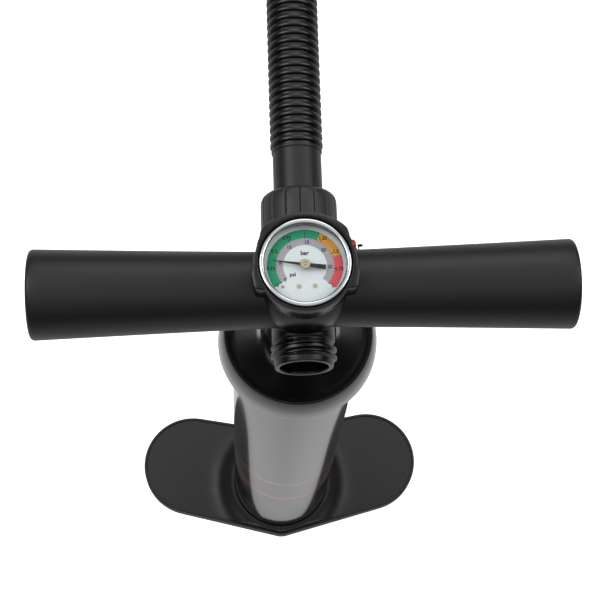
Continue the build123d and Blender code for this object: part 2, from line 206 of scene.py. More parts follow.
def spline_path(route, spacing):
    """Points at even spacing along the smooth line that follows a route, with its length."""
    curve = bpy.data.curves.new("route", "CURVE")
    curve.dimensions = "3D"
    spline = curve.splines.new("NURBS")
    spline.points.add(len(route) - 1)
    for point, (x, y, z) in zip(spline.points, route):
        point.co = (x * MM, y * MM, z * MM, 1)
    spline.order_u = 3
    spline.use_endpoint_u = True
    spline.resolution_u = 60
    holder = bpy.data.objects.new("route", curve)
    line = [vert.co.copy() for vert in bpy.data.meshes.new_from_object(holder).vertices]
    bpy.data.objects.remove(holder)
    lengths = [0.0]
    for before, after in zip(line, line[1:]):
        lengths.append(lengths[-1] + (after - before).length)
    count = round(lengths[-1] / spacing)
    points, piece = [], 0
    for number in range(count + 1):
        wanted = lengths[-1] * number / count
        while piece < len(line) - 2 and lengths[piece + 1] < wanted:
            piece += 1
        share = (wanted - lengths[piece]) / (lengths[piece + 1] - lengths[piece])
        points.append(line[piece].lerp(line[piece + 1], share))
    return points, lengths[-1]


def direction(points, number):
    return (points[min(number + 1, len(points) - 1)] - points[max(number - 1, 0)]).normalized()


vinyl = moulded("blow_moulded_vinyl", "#0b0b0b", 0.32, 0.5, 0.06, IOR=1.47)

hose_path, hose_length = spline_path(HOSE_ROUTE, HOSE_PITCH * MM)
hose_rings = []
for pitch_number in range(len(hose_path) - 1):
    for share, height in HOSE_WAVE:
        centre = hose_path[pitch_number].lerp(hose_path[pitch_number + 1], share)
        along = direction(hose_path, pitch_number).lerp(direction(hose_path, pitch_number + 1), share)
        along.normalize()
        hose_rings.append((centre, along, (HOSE_VALLEY + height * (HOSE_CREST - HOSE_VALLEY)) * MM))
hose_rings.append((hose_path[-1], direction(hose_path, len(hose_path) - 1), HOSE_VALLEY * MM))
hose_rings.append((hose_path[-1], direction(hose_path, len(hose_path) - 1), 0))
hose_rings.insert(0, (hose_path[0], direction(hose_path, 0), 0))


def place_on_hose(row, angle):
    centre, along, radius = hose_rings[row]
    side = (Vector((1, 0, 0)) - along * along.x).normalized()
    return centre + radius * (math.cos(angle) * side + math.sin(angle) * along.cross(side))


hose = grid_skin("hose", len(hose_rings), 36, place_on_hose)
fit_out(hose, vinyl, "hose_vinyl", "handle", "hose_tube")


# ---------------------------------------------------------------- floor and light
# A seamless white studio table with large soft lamps. None of it belongs to the pump.
bpy.ops.mesh.primitive_plane_add(size=8, location=(0, 0, -0.0005))
floor = bpy.context.object
floor.name = "floor"
paper, paper_shader, _ = new_material("white_paper", Base_Color=linear("#d2d2d2"), Roughness=0.9)
paper_shader.inputs["Emission Color"].default_value = (1, 1, 1, 1)
seen = add_node(paper, "ShaderNodeLightPath", {})
glow = add_node(
    paper, "ShaderNodeMapRange", {"Value": seen.outputs["Is Camera Ray"]}, To_Min=0.12, To_Max=1.0,
)
paper.node_tree.links.new(glow.outputs[0], paper_shader.inputs["Emission Strength"])
floor.data.materials.append(paper)

# The sky is dim up to 20 degrees above the horizon and grows brighter up to 58 degrees, given here
# as sines. To the camera it is plain white, and so is the table.
SKY_RANGE = {"From Min": 0.35, "From Max": 0.85, "To Min": 0.08, "To Max": 0.80}
world = bpy.data.worlds.new("studio")
world.use_nodes = True
sky = world.node_tree.nodes
sky_place = sky.new("ShaderNodeTexCoord")
sky_height = sky.new("ShaderNodeSeparateXYZ")
overhead = sky.new("ShaderNodeMapRange")
for socket, value in SKY_RANGE.items():
    overhead.inputs[socket].default_value = value
sky["Background"].inputs["Color"].default_value = (1, 1, 1, 1)
world.node_tree.links.new(sky_place.outputs["Generated"], sky_height.inputs[0])
world.node_tree.links.new(sky_height.outputs["Z"], overhead.inputs["Value"])
backdrop = sky.new("ShaderNodeLightPath")
shown = sky.new("ShaderNodeMath")
shown.operation = "MAXIMUM"
world.node_tree.links.new(overhead.outputs[0], shown.inputs[0])
world.node_tree.links.new(backdrop.outputs["Is Camera Ray"], shown.inputs[1])
world.node_tree.links.new(shown.outputs[0], sky["Background"].inputs["Strength"])
scene.world = world
scene.view_settings.view_transform = "Standard"

# name, place, aimed at, size, power
LAMPS = [
    ("key", (-1.2, 0.35, 1.9), (0, 0, 0.4), 1.0, 13),
    ("fill", (1.3, 0.3, 1.7), (0, 0, 0.4), 1.0, 9),
    ("back", (0.2, 1.6, 1.7), (0, 0, 0.5), 1.2, 9),
]
for name, place, target, size, power in LAMPS:
    lamp = bpy.data.objects.new(name, bpy.data.lights.new(name, "AREA"))
    lamp.data.size = size
    lamp.data.energy = power
    lamp.location = place
    lamp.rotation_euler = (Vector(target) - Vector(place)).to_track_quat("-Z", "Y").to_euler()
    scene.collection.objects.link(lamp)


# ---------------------------------------------------------------- footplate
# One black polypropylene moulding: two broad lobes for the feet joined by a shallow chevron, a raised
# bead round the edge, and a flared socket for the barrel. Hollow underneath, with ribs.
LOBE_X, LOBE_Y, LOBE_R = 77.0, 18.0, 42.5
TIP_Y, REAR_Y, TIP_ROUND = -46.3, 46.9, 22.0
PLATE_TOP, PLATE_WALL, SOCKET_FLOOR, SOCKET_TOP, SOCKET_R = 13.4, 3.4, 8.0, 25.9, 43.9
PLATE_STEPS, UNDERSIDE = 288, 8.8
FLARE_R, FLARE_WIDTH, FLARE_POWER, FLARE_ROWS = 44.0, 7.0, 1.4, 22
RIB_WIDTH, RIB_LENGTH, RIB_MIDDLE = 2.4, 58, 4.6


def outline_radius(angle, shrink=0.0):
    """Distance from the barrel's axis to the plate's edge in one direction."""
    across, ahead = abs(math.cos(angle)), math.sin(angle)
    radius = LOBE_R - shrink
    reach = across * LOBE_X + ahead * LOBE_Y
    inside = reach * reach - (LOBE_X ** 2 + LOBE_Y ** 2 - radius ** 2)
    lobe = reach + math.sqrt(inside) if inside > 0 and reach > 0 else 0
    start_y = TIP_Y + shrink if ahead < 0 else REAR_Y - shrink
    away = math.atan2(start_y - LOBE_Y, -LOBE_X)
    turn = math.acos(radius / math.hypot(start_y - LOBE_Y, LOBE_X)) * (1 if ahead < 0 else -1)
    touch_x = LOBE_X + radius * math.cos(away + turn)
    touch_y = LOBE_Y + radius * math.sin(away + turn)
    slope = (touch_y - start_y) / touch_x
    edge = start_y / (ahead - slope * across) if abs(ahead - slope * across) > 1e-6 else 0
    if edge <= 0 or edge * across > touch_x:
        edge = lobe
    # the point in front of the barrel is rounded off
    if ahead < 0:
        blunt = abs(start_y) + 0.35 * TIP_ROUND * (1 - abs(ahead)) - 0.6
        edge = min(edge, blunt) if across * edge < 6 else edge
    return edge


def plate_row(share, inner, shrink, angle):
    """Distance part of the way from a circle round the barrel to the plate's edge."""
    return inner + share * (outline_radius(angle, shrink) - inner)


# share of the way out, inner radius, shrink, height above the ground or None for the flared top
PLATE_ROWS = [(0, 0.0, 0, SOCKET_FLOOR), (0, 40.1, 0, SOCKET_FLOOR)]
PLATE_ROWS += [(0, 40.1, 0, SOCKET_TOP - 0.6), (0, 40.6, 0, SOCKET_TOP)]
PLATE_ROWS += [(0, SOCKET_R - 0.8, 0, SOCKET_TOP), (0, SOCKET_R, 0, SOCKET_TOP - 0.8)]
PLATE_ROWS += [(row / FLARE_ROWS, FLARE_R, 2.6, None) for row in range(FLARE_ROWS + 1)]
PLATE_ROWS += [(1, FLARE_R, 2.3, PLATE_TOP - 0.15), (1, FLARE_R, 1.7, PLATE_TOP)]
PLATE_ROWS += [(1, FLARE_R, 1.0, PLATE_TOP)]
PLATE_ROWS += [(1, FLARE_R, 0.45, PLATE_TOP - 0.45), (1, FLARE_R, 0.12, PLATE_TOP - 1.1)]
PLATE_ROWS += [(1, FLARE_R, 0.0, PLATE_TOP - 2.0), (1, FLARE_R, 0.0, 0.5), (1, FLARE_R, 0.4, 0.0)]
PLATE_ROWS += [(1, FLARE_R, PLATE_WALL - 0.4, 0.0), (1, FLARE_R, PLATE_WALL, 0.5)]
PLATE_ROWS += [(1, FLARE_R, PLATE_WALL, UNDERSIDE), (0, 42.0, PLATE_WALL, UNDERSIDE)]
PLATE_ROWS += [(0, 41.8, 0, 0.4), (0, 41.4, 0, 0.0)]
PLATE_ROWS += [(0, 30.0, 0, 0.0), (0, 0.0, 0, 0.0)]


def place_on_plate(row, angle):
    share, inner, shrink, height = PLATE_ROWS[row]
    angle -= math.pi / 2
    distance = plate_row(share, inner, shrink, angle)
    if height is None:
        beyond = distance - FLARE_R
        flare = math.exp(-(beyond / FLARE_WIDTH) ** FLARE_POWER) if beyond > 0 else 1
        height = PLATE_TOP - 1.2 + flare * (SOCKET_TOP - PLATE_TOP - 0.4)
    return Vector((distance * math.cos(angle), distance * math.sin(angle), height)) * MM


polypropylene = moulded("moulded_polypropylene", "#0e0e0d", 0.46, 0.7, 0.12, IOR=1.47)
footplate = grid_skin("footplate_shell", len(PLATE_ROWS), PLATE_STEPS, place_on_plate)
fit_out(footplate, polypropylene, "black_plastic", "barrel", "footplate")

# Two ribs under each lobe run fore and aft, at these places across the plate. One more runs across.
RIB_PLACES = (-90, -60, 60, 90)
ribs = [((across, 15, RIB_MIDDLE), (RIB_WIDTH, RIB_LENGTH, 8.8)) for across in RIB_PLACES]
ribs += [((side * 76, 30, RIB_MIDDLE), (RIB_LENGTH, RIB_WIDTH, 8.6)) for side in (-1, 1)]
rib_bm = bmesh.new()
for middle, size in ribs:
    shape = Matrix.Diagonal([length * MM for length in size] + [1])
    bmesh.ops.create_cube(
        rib_bm, size=1, matrix=Matrix.Translation(Vector(middle) * MM) @ shape,
    )
fit_out(piece_from("footplate_ribs", rib_bm), polypropylene, "black_plastic", "barrel")


# ---------------------------------------------------------------- barrel
# Drawn aluminium tube with a thick coat of gloss black enamel, so smooth that it mirrors the ground.
# Two fine orange pinstripes stand in for the printed decoration.
BARREL_R, BORE_R, BARREL_LOW, BARREL_HIGH = 40.0, 37.5, 8.0, 474.0
STRIPE_HEIGHTS, STRIPE_HALF = (150.0, 205.0), 1.6


def lathe(name, profile, centre=(0, 0), steps=128, axis="Z"):
    """Turned piece. The profile gives radius and place along the axis, in millimetres."""
    def place(row, angle):
        radius, along = profile[row]
        one, two = centre[0] + radius * math.cos(angle), centre[1] + radius * math.sin(angle)
        spots = {"Z": (one, two, along), "Y": (one, along, two), "X": (along, one, two)}
        return Vector(spots[axis]) * MM
    return grid_skin(name, len(profile), steps, place)


enamel, enamel_shader, enamel_place = new_material(
    "gloss_black_enamel", Roughness=0.10, IOR=1.5, Coat_Weight=0.3, Coat_Roughness=0.05, Coat_IOR=1.5,
)
split = add_node(enamel, "ShaderNodeSeparateXYZ", {"Vector": enamel_place})
stripe_bands = [
    add_node(enamel, "ShaderNodeMath", {0: split.outputs["Z"]}, operation="COMPARE")
    for _ in STRIPE_HEIGHTS
]
for band, stripe_height in zip(stripe_bands, STRIPE_HEIGHTS):
    band.inputs[1].default_value = stripe_height * MM
    band.inputs[2].default_value = STRIPE_HALF * MM
stripes = add_node(
    enamel, "ShaderNodeMath", {0: stripe_bands[0].outputs[0], 1: stripe_bands[1].outputs[0]},
    operation="MAXIMUM",
)
stripe_mix = add_node(enamel, "ShaderNodeMix", {"Factor": stripes.outputs[0]}, data_type="RGBA")
stripe_mix.inputs[6].default_value = linear("#0c0c0d")
stripe_mix.inputs[7].default_value = linear("#d96a20")
enamel.node_tree.links.new(stripe_mix.outputs[2], enamel_shader.inputs["Base Color"])
peel = add_node(enamel, "ShaderNodeTexNoise", {"Vector": enamel_place}, Scale=420.0, Detail=2.0)
ripple = add_node(
    enamel, "ShaderNodeBump", {"Height": peel.outputs["Fac"]}, Strength=0.015, Distance=0.0001,
)
enamel.node_tree.links.new(ripple.outputs[0], enamel_shader.inputs["Normal"])

barrel = lathe("barrel", [
    (BORE_R, BARREL_LOW), (BORE_R, BARREL_HIGH),
    (BARREL_R - 0.3, BARREL_HIGH), (BARREL_R, BARREL_HIGH - 0.3),
    (BARREL_R, BARREL_LOW + 0.3), (BARREL_R - 0.3, BARREL_LOW), (BORE_R, BARREL_LOW),
], steps=160)
fit_out(barrel, enamel, "gloss_barrel", "barrel", "barrel_tube")


# ---------------------------------------------------------------- top cap
# Screw cap moulded in black nylon: a broad sloping side, a rolled upper edge and a slightly dished
# top round the rod's bushing. Its side is polished by the mould, so it takes a grey sheen.
nylon = moulded(
    "moulded_nylon", "#0b0a09", 0.24, 1.2, 0.03, IOR=1.5, Coat_Weight=0.8, Coat_Roughness=0.16,
)
cap_profile = [
    (40.05, 475.5), (40.05, 458.4), (46.9, 458.4), (48.3, 458.5), (48.8, 458.9), (48.9, 459.6),
    (48.75, 461.0), (48.6, 466.0), (48.0, 470.5), (47.1, 474.5), (46.1, 477.6), (45.2, 479.6),
    (44.6, 480.5), (44.0, 480.9), (43.3, 480.8), (42.4, 480.3), (41.0, 479.6), (38.0, 479.1),
    (27.0, 479.0), (24.0, 479.3), (21.6, 480.6), (20.3, 482.8), (20.0, 485.0), (20.0, 491.2),
    (19.7, 491.8), (19.0, 492.0),
    (17.05, 492.0), (17.05, 475.5), (40.05, 475.5),
]
cap = lathe("screw_cap", cap_profile, steps=160)
fit_out(cap, nylon, "cap_plastic", "barrel", "top_cap")


# ---------------------------------------------------------------- handle housing
# One satin black ABS moulding. It is a hub where the stem, the two arms, the intake port in front
# and the outlet port behind run together in full, soft fillets, with the gauge's cup on top.
PORT_Z, ARM_Z, CUP_Y, CUP_FLOOR, CUP_BORE = 539.6, 563.5, 4.8, 566.0, 25.6
HUB_VOXEL = 0.9


def ball(bm, centre, radius):
    bmesh.ops.create_icosphere(
        bm, subdivisions=4, radius=radius * MM, matrix=Matrix.Translation(Vector(centre) * MM),
    )


def ball_chain(bm, start, start_radius, end, end_radius, count=12):
    """A row of overlapping balls that stands for a tapering, round-backed arm."""
    for number in range(count):
        share = number / (count - 1)
        centre = Vector(start).lerp(Vector(end), share)
        ball(bm, centre, start_radius + share * (end_radius - start_radius))


def rod_shape(bm, start, end, radius, end_radius=None):
    """A closed cylinder or cone between two points."""
    start, end = Vector(start) * MM, Vector(end) * MM
    turn = (end - start).to_track_quat("Z", "Y").to_matrix().to_4x4()
    bmesh.ops.create_cone(
        bm, cap_ends=True, segments=96, radius1=radius * MM,
        radius2=(radius if end_radius is None else end_radius) * MM, depth=(end - start).length,
        matrix=Matrix.Translation((start + end) / 2) @ turn,
    )


def settled(piece):
    """Applies a piece's modifiers to its mesh."""
    mesh = bpy.data.meshes.new_from_object(piece.evaluated_get(bpy.context.evaluated_depsgraph_get()))
    piece.modifiers.clear()
    piece.data = mesh
    return piece


hub_bm = bmesh.new()
rod_shape(hub_bm, (0, 0, 496.4), (0, 0, 540), 19.3)
rod_shape(hub_bm, (0, 0, 508), (0, 3, 560), 20.5, 25.5)
rod_shape(hub_bm, (-34.6, 0, ARM_Z), (34.6, 0, ARM_Z), 21.1)
ball_chain(hub_bm, (0, CUP_Y, 564), 28.2, (0, -1, 552), 23.5)
rod_shape(hub_bm, (0, 8, 548), (0, -13.5, 541), 26.5, 20.4)
ball_chain(hub_bm, (0, CUP_Y, 564), 28.2, (0, 24, 542), 17.5)
for side in (-1, 1):
    ball_chain(hub_bm, (side * 4, 4, 567), 27.5, (side * 11, 1, ARM_Z), 22.0)
rod_shape(hub_bm, (0, 0, PORT_Z), (0, -20.5, PORT_Z), 17.2)
rod_shape(hub_bm, (0, 0, PORT_Z), (0, 44, PORT_Z), 16.8)
rod_shape(hub_bm, (25.5, 8, 562.9), (25.5, 23.5, 562.9), 5.8)
hub = piece_from("handle_hub", hub_bm)
remesh = hub.modifiers.new("one_moulding", "REMESH")
remesh.mode = "VOXEL"
remesh.voxel_size = HUB_VOXEL * MM
soften = hub.modifiers.new("fillets", "SMOOTH")
soften.factor, soften.iterations = 0.5, 14
hub = settled(hub)

cutter_bm = bmesh.new()
rod_shape(cutter_bm, (0, CUP_Y, CUP_FLOOR), (0, CUP_Y, 620), CUP_BORE + 0.5)
rod_shape(cutter_bm, (0, -9, PORT_Z), (0, -60, PORT_Z), 14.5)
rod_shape(cutter_bm, (0, 0, 490), (0, 0, 522), 12.6)
cutter = piece_from("hub_cutter", cutter_bm)
hollow = hub.modifiers.new("hollows", "BOOLEAN")
hollow.object, hollow.operation, hollow.solver = cutter, "DIFFERENCE", "EXACT"
hub = settled(hub)
bpy.data.objects.remove(cutter)
hub.data.shade_smooth()
hub.data.set_sharp_from_angle(angle=math.radians(40))

abs_black = moulded("satin_moulded_abs", "#060505", 0.28, 0.6, 0.05, IOR=1.43)
fit_out(hub, abs_black, "black_plastic", "handle", "handle_housing")


# ---------------------------------------------------------------- gauge cup
# The upright wall round the gauge, part of the same moulding. It is thick where it grows out of the
# two arms, and steps down to a thin lip over the front.
# turn from the front in degrees, outer radius there
CUP_OUTLINE = [
    (0, 27.4), (55, 27.4), (63, 31.0), (74, 30.0), (90, 28.4), (106, 27.6), (118, 28.3),
    (131, 30.2), (158, 29.3), (180, 28.7),
]


def cup_wall(angle):
    """Outer radius of the cup's wall in one direction."""
    turn = (math.degrees(angle) + 90) % 360
    turn = min(turn, 360 - turn)
    for (first, start), (last, end) in zip(CUP_OUTLINE, CUP_OUTLINE[1:]):
        if turn <= last:
            share = (turn - first) / (last - first)
            return start + (end - start) * share * share * (3 - 2 * share)
    return end


# 1 where the radius is counted from the outer wall, else 0, then radius and height
CUP_ROWS = [(0, 25.6, 566.0), (0, 25.6, 595.9), (0, 25.75, 596.5), (0, 26.2, 596.9)]
CUP_ROWS += [(1, -0.9, 596.9), (1, -0.3, 596.6), (1, 0.0, 596.0), (1, 0.0, 590.0), (1, -0.4, 583.0)]
CUP_ROWS += [(1, -1.6, 574.0), (0, 25.8, 566.0), (0, 25.6, 566.0)]


def place_on_cup(row, angle):
    outer, radius, height = CUP_ROWS[row]
    radius += cup_wall(angle) if outer else 0
    return Vector((radius * math.cos(angle), CUP_Y + radius * math.sin(angle), height)) * MM


cup = grid_skin("gauge_cup", len(CUP_ROWS), 240, place_on_cup)
fit_out(cup, abs_black, "black_plastic", "handle")


# ---------------------------------------------------------------- intake port
# Open mouth for the hose when the pump draws air out: two turns of coarse round thread behind a
# thinner plain lip.
THREAD_PITCH, THREAD_ROOT, THREAD_CREST = 4.8, 16.8, 18.6
THREAD_FROM, THREAD_TO, THREAD_STEP = -25.0, -36.2, 0.28


def thread_radius(along, angle):
    phase = ((along - THREAD_TO) / THREAD_PITCH + angle / math.tau) % 1
    wave = 0.5 - 0.5 * math.cos(math.tau * phase)
    crest = min(1.0, 1.55 * wave ** 1.5)
    fade_in = min(1, max(0, (along - THREAD_TO - 0.8) / 1.2))
    fade_out = min(1, max(0, (THREAD_FROM - along - 0.6) / 1.2))
    return THREAD_ROOT + (THREAD_CREST - THREAD_ROOT) * crest * (fade_in * fade_out)


# radius, or None along the thread, and place along the axis
PORT_ROWS = [(17.9, -10.0), (17.9, -20.0), (17.85, -23.8), (17.5, -24.4), (16.9, -24.8)]
thread_rows = round((THREAD_FROM - THREAD_TO) / THREAD_STEP)
PORT_ROWS += [(None, THREAD_FROM - THREAD_STEP * number) for number in range(thread_rows + 1)]
PORT_ROWS += [(16.7, -36.4), (16.6, -36.8), (16.6, -38.1)]
PORT_ROWS += [(16.3, -38.55), (15.8, -38.7), (14.4, -38.7)]
PORT_ROWS += [(13.95, -38.5), (13.75, -38.0), (13.7, -37.0), (13.7, -11.5)]
PORT_ROWS += [(15.0, -11.5), (16.5, -10.0), (17.9, -10.0)]


def place_on_port(row, angle):
    radius, along = PORT_ROWS[row]
    radius = thread_radius(along, angle) if radius is None else radius
    return Vector((radius * math.cos(angle), along, PORT_Z + radius * math.sin(angle))) * MM


port = grid_skin("intake_port", len(PORT_ROWS), 128, place_on_port)
fit_out(port, abs_black, "black_plastic", "handle")


# ---------------------------------------------------------------- grips
# Two round sleeves of matt black polypropylene that flare gently towards their flat ends.
GRIP_FROM, GRIP_TO, GRIP_SMALL, GRIP_LARGE = 16.0, 150.8, 21.25, 25.2
GRIP_STEPS, GRIP_EDGE = 28, 2.4

grip_profile = [(0, GRIP_FROM)]
for number in range(GRIP_STEPS + 1):
    share = number / GRIP_STEPS
    along = GRIP_FROM + share * (GRIP_TO - GRIP_EDGE - GRIP_FROM)
    grip_profile.append((GRIP_SMALL + (GRIP_LARGE - GRIP_SMALL) * share ** 1.15, along))
for degrees in (20, 40, 60, 80, 90):
    bend = math.radians(degrees)
    grip_profile.append((
        GRIP_LARGE - GRIP_EDGE + GRIP_EDGE * math.cos(bend),
        GRIP_TO - GRIP_EDGE + GRIP_EDGE * math.sin(bend),
    ))
grip_profile += [(20.5, GRIP_TO), (20.0, GRIP_TO - 0.5), (0, GRIP_TO - 0.5)]

matt_polypropylene = moulded("matt_moulded_polypropylene", "#0d0c0b", 0.44, 0.5, 0.10, IOR=1.45)
for name, side in (("left_grip", -1), ("right_grip", 1)):
    mirrored = [(radius, side * along) for radius, along in grip_profile]
    sleeve = lathe(name + "_sleeve", mirrored, centre=(0, ARM_Z), axis="X", steps=128)
    fit_out(sleeve, matt_polypropylene, "grip_plastic", "handle", name)


# ---------------------------------------------------------------- hose nut
# Union nut in glass filled nylon, ribbed for the hand: flat panels parted by narrow grooves, which
# run out on a smooth rounded shoulder at the hose.
NUT_PANELS, NUT_R, PANEL_STEPS = 16, 22.2, 18
GROOVE_DEPTH, GROOVE_SHARE = 0.85, 0.13
# radius less the nut's, place along the axis, depth of the panels' shape there
NUT_ROWS = [
    (-4.8, 38.2, 0), (-1.2, 38.0, 0), (-0.5, 38.3, 0.5), (0, 39.0, 1), (0, 45.0, 1), (0, 52.0, 1),
    (-0.05, 59.0, 1), (-0.25, 60.6, 0.9), (-0.7, 61.8, 0.5), (-1.4, 62.8, 0.15), (-2.4, 63.6, 0),
    (-3.6, 64.1, 0), (-5.2, 64.4, 0), (-7.3, 64.45, 0), (-7.45, 64.2, 0), (-7.5, 62.6, 0),
    (-4.9, 62.4, 0), (-4.9, 38.4, 0), (-4.8, 38.2, 0),
]


def place_on_nut(row, angle):
    less, along, shaped = NUT_ROWS[row]
    half = math.pi / NUT_PANELS
    off_middle = angle % (2 * half) - half
    flat = NUT_R * (math.cos(half) / math.cos(off_middle) - 1) * -0.6
    groove = GROOVE_DEPTH * max(0, 1 - (half - abs(off_middle)) / (half * GROOVE_SHARE)) ** 0.7
    radius = NUT_R + less - shaped * (groove + max(0, flat) * 0.5)
    return Vector((radius * math.cos(angle), along, PORT_Z + radius * math.sin(angle))) * MM


filled_nylon = moulded("glass_filled_nylon", "#1e1d1b", 0.42, 0.5, 0.14, IOR=1.5)
nut = grid_skin("union_nut", len(NUT_ROWS), NUT_PANELS * PANEL_STEPS, place_on_nut)
fit_out(nut, filled_nylon, "black_plastic", "union_nut", "hose_nut")


# ---------------------------------------------------------------- hose cuffs and valve connector
# Soft black cuffs are moulded on both ends of the hose. The far one holds a turning connector with
# two bayonet ears, a grip ring and a spigot for the valve.
END_X, END_Y, END_Z = 27.0, 244.0, 16.0
soft_vinyl = moulded("soft_moulded_vinyl", "#0f0f0e", 0.42, 0.4, 0.06, IOR=1.47)
cuff = lathe("hose_cuff_sleeve", [
    (10.0, 60.0), (16.7, 60.0), (16.7, 62.1), (14.4, 62.3), (14.25, 70.0), (14.2, 90.5),
    (14.6, 91.0), (14.9, 91.8), (14.7, 92.7), (14.2, 93.0), (10.0, 93.0), (10.0, 60.0),
], centre=(0, PORT_Z), axis="Y", steps=96)
fit_out(cuff, soft_vinyl, "rubber", "handle", "hose_cuff")

# radius, and distance back from the cuff's end towards the spigot's tip
END_CUFF = [
    (8.0, 34), (12.6, 34), (13.4, 33.4), (14.2, 31), (14.6, 12), (15.2, 10), (15.4, 8), (15.4, 1.2),
    (15.0, 0), (8.0, 0), (8.0, 34),
]
FITTING = [
    (6.5, 72), (8.7, 72), (9.3, 71.4), (9.5, 70), (9.5, 54.2), (9.5, 52), (12.2, 52), (12.9, 51.2),
    (12.9, 46.6), (14.2, 46), (14.7, 45.4), (14.7, 42.6), (14.2, 42), (12.9, 41.4), (12.9, 35),
    (12.2, 34.1), (6.5, 34.1), (6.5, 72),
]


def back_from_end(profile):
    return [(radius, END_Y - back) for radius, back in profile]


end_cuff = lathe(
    "hose_end_sleeve", back_from_end(END_CUFF), centre=(END_X, END_Z), axis="Y", steps=96,
)
connector = lathe(
    "valve_fitting", back_from_end(FITTING), centre=(END_X, END_Z), axis="Y", steps=96,
)
fit_out(end_cuff, soft_vinyl, "rubber", "handle", "hose_end_cuff")
fit_out(connector, abs_black, "black_plastic", "connector", "valve_connector")
ears_bm = bmesh.new()
for side in (-1, 1):
    size = Matrix.Diagonal((3.6 * MM, 3.0 * MM, 4.0 * MM, 1))
    middle = Vector((END_X + side * 10.2, END_Y - 66.5, END_Z)) * MM
    bmesh.ops.create_cube(ears_bm, size=1, matrix=Matrix.Translation(middle) @ size)
bmesh.ops.bevel(
    ears_bm, geom=ears_bm.edges[:], offset=0.5 * MM, segments=3, profile=0.5, affect="EDGES",
    material=-1,
)
ears = piece_from("bayonet_ears", ears_bm)
fit_out(ears, abs_black, "black_plastic", "connector")


# ---------------------------------------------------------------- red plug and tether
# Polished red ABS plug on a small black loop, which closes a vent at the back of the hub.
PLUG_X, PLUG_Z, PLUG_FACE = 25.5, 562.9, 23.6
red_abs = moulded("polished_red_abs", "#c8141c", 0.22, 1.0, 0.02, IOR=1.53)
plug = lathe("vent_plug", [
    (0, 11.5), (3.0, 11.5), (3.5, 12.2), (3.5, PLUG_FACE + 0.3), (4.5, PLUG_FACE + 0.3),
    (5.0, PLUG_FACE + 0.8), (5.0, PLUG_FACE + 3.4), (4.6, PLUG_FACE + 4.2), (3.8, PLUG_FACE + 4.5),
    (0, PLUG_FACE + 4.5),
], centre=(PLUG_X, PLUG_Z), axis="Y", steps=64)
fit_out(plug, red_abs, "red_plastic", "plug", "air_plug")


# ---------------------------------------------------------------- gauge bezel and lens
# Bright chromed steel ring rolled over the rim of the case, and a clear acrylic lens held under it.
# Chrome mirrors the sky in a nearly even sheen. The acrylic is almost invisible but for its dome.
chrome = metal("bright_chrome_plate", "#cdd0d2", 0.17, 3.0, 0.03)
bezel = lathe("bezel_ring", [
    (24.75, 584.2), (25.2, 584.2), (25.3, 584.6), (25.3, 594.9), (25.2, 595.7), (24.9, 596.35),
    (24.4, 596.8), (23.7, 596.95), (23.1, 596.85), (22.6, 596.55), (22.25, 596.1), (22.0, 595.8),
    (21.85, 595.55), (24.75, 595.55), (24.75, 584.2),
], centre=(0, CUP_Y), steps=160)
fit_out(bezel, chrome, "chrome", "handle", "gauge_bezel")

acrylic, acrylic_shader, acrylic_place = new_material(
    "clear_acrylic", Base_Color=linear("#30343a"), IOR=1.49, Alpha=0.05,
)
haze = add_node(acrylic, "ShaderNodeTexNoise", {"Vector": acrylic_place}, Scale=90.0, Detail=3.0)
polish = add_node(
    acrylic, "ShaderNodeMapRange", {"Value": haze.outputs["Fac"]}, To_Min=0.02, To_Max=0.05,
)
acrylic.node_tree.links.new(polish.outputs[0], acrylic_shader.inputs["Roughness"])
LENS_R, LENS_EDGE, LENS_RISE, LENS_STEPS = 21.8, 595.5, 0.7, 8
lens_profile = [(0, 594.2), (23.3, 594.2), (23.3, 595.4), (LENS_R, LENS_EDGE)]
for number in range(1, LENS_STEPS + 1):
    share = 1 - number / LENS_STEPS
    lens_profile.append((LENS_R * share, LENS_EDGE + LENS_RISE * (1 - share ** 2)))
lens = lathe("domed_lens", lens_profile, centre=(0, CUP_Y), steps=96)
fit_out(lens, acrylic, "clear_lens", "handle", "gauge_lens")


# ---------------------------------------------------------------- dial
# Printed aluminium disc. The outer ring is green, then orange, then red; a grey ring inside it
# carries the second scale. Figures, ticks and colours are thin prints that stand a hair above the face.
DIAL_Z, PRINT_STEP = 590.0, 0.05
SCALE_START, SCALE_END, SCALE_BAR = 215.7, -38.6, 2.0
# name, colour, inner and outer radius, where it starts and ends in degrees
RINGS = [
    ("green_band", "#0f9a6b", 15.9, 20.7, 215.7, 64.5),
    ("orange_band", "#e0a040", 15.9, 20.7, 64.5, 17.0),
    ("red_band", "#e05560", 15.9, 20.7, 17.0, -38.6),
    ("grey_band", "#a8a4ac", 11.9, 15.9, 215.7, -38.6),
]


def printed(name, colour):
    """Flat screen print: even colour, a trace of unevenness in its sheen."""
    return moulded(name, colour, 0.5, 0.6, 0.02, IOR=1.45)


face_paint = printed("dial_face_print", "#dfe9ea")
dial = lathe("dial_face", [
    (0, DIAL_Z - 0.8), (23.3, DIAL_Z - 0.8), (23.3, DIAL_Z), (0, DIAL_Z),
], centre=(0, CUP_Y), steps=128)
fit_out(dial, face_paint, "dial_white", "handle", "gauge_dial")


def dial_spot(radius, degrees, layer):
    bend = math.radians(degrees)
    return Vector((
        radius * math.cos(bend), CUP_Y + radius * math.sin(bend), DIAL_Z + PRINT_STEP * layer,
    )) * MM


